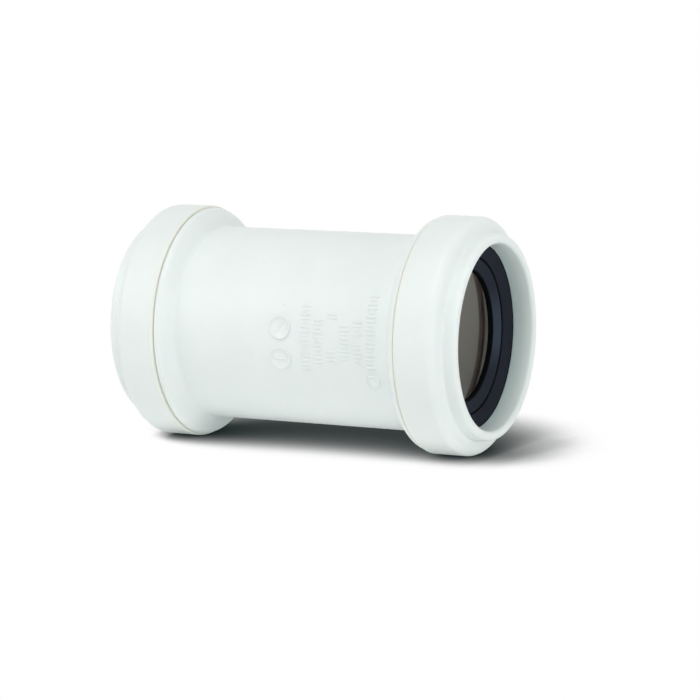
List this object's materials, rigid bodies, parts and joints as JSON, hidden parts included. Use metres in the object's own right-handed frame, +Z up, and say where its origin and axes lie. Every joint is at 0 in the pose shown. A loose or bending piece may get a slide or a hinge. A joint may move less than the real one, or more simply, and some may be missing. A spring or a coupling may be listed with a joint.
{
  "type": "push-fit pipe coupling",
  "caption": "Straight push-fit coupling for plastic waste pipe: a plain barrel with a pipe stop inside, and a clipped cap with a rubber lip seal at each end.",
  "frame": {"origin": "middle of the coupling, on the pipe axis", "axes": "+X along the pipe axis out of the right-hand socket, +Z up as it lies on its side"},
  "size_m": [0.0874, 0.0542, 0.0542],
  "materials": {
    "white_polypropylene": "satin",
    "black_rubber": "matte"
  },
  "bodies": {
    "body": {"coupling_body": "white_polypropylene"},
    "left_cap": {"left_cap": "white_polypropylene"},
    "right_cap": {"right_cap": "white_polypropylene"},
    "left_seal": {"left_seal": "black_rubber"},
    "right_seal": {"right_seal": "black_rubber"}
  },
  "joints": [
    {"name": "left_cap_pull", "type": "slide", "parent": "body", "child": "left_cap", "axis": [-1, 0, 0], "range_m": [0, 0.03]},
    {"name": "right_cap_pull", "type": "slide", "parent": "body", "child": "right_cap", "axis": [1, 0, 0], "range_m": [0, 0.03]},
    {"name": "left_seal_pull", "type": "slide", "parent": "body", "child": "left_seal", "axis": [-1, 0, 0], "range_m": [0, 0.015]},
    {"name": "right_seal_pull", "type": "slide", "parent": "body", "child": "right_seal", "axis": [1, 0, 0], "range_m": [0, 0.015]}
  ],
  "couplings": [
    {"joint": "left_seal_pull", "follows": "left_cap_pull", "ratio": 0.5},
    {"joint": "right_seal_pull", "follows": "right_cap_pull", "ratio": 0.5}
  ]
}
